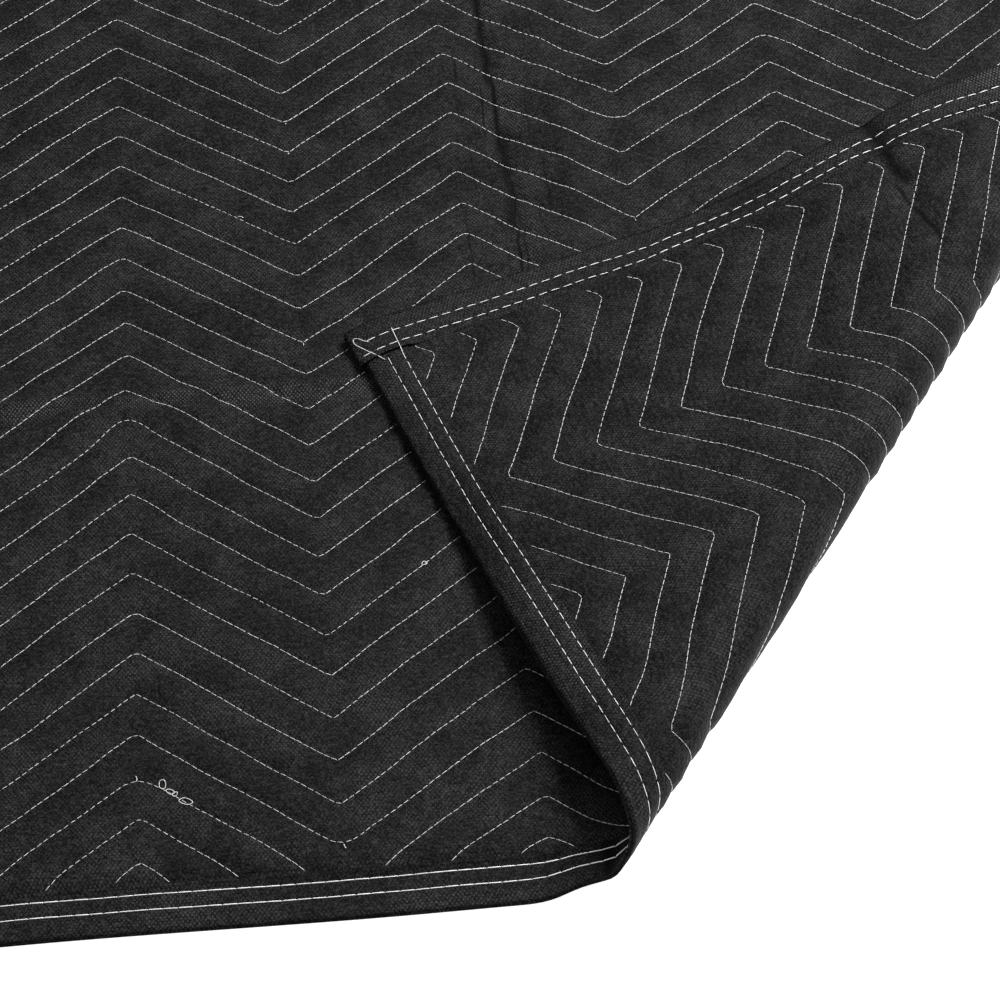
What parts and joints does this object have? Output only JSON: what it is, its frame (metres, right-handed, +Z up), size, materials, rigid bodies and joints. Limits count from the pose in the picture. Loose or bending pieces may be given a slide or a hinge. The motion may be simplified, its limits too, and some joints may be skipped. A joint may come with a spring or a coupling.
{
  "type": "moving pad",
  "caption": "Black quilted moving pad with zigzag stitching and bound edges, lying flat with one front corner folded over.",
  "frame": {"origin": "bottom centre of the laid pad's bounding box, on the surface it lies on", "axes": "+X along the front edge to the right, +Y away from the front edge, +Z up"},
  "size_m": [2.0327, 1.8293, 0.0703],
  "materials": {
    "quilt": "matte",
    "binding": "matte",
    "thread": "satin"
  },
  "bodies": {
    "root": {"quilted_panel": "quilt", "front_binding": "binding", "back_binding": "binding", "left_binding": "binding", "right_binding": "binding"}
  },
  "joints": []
}
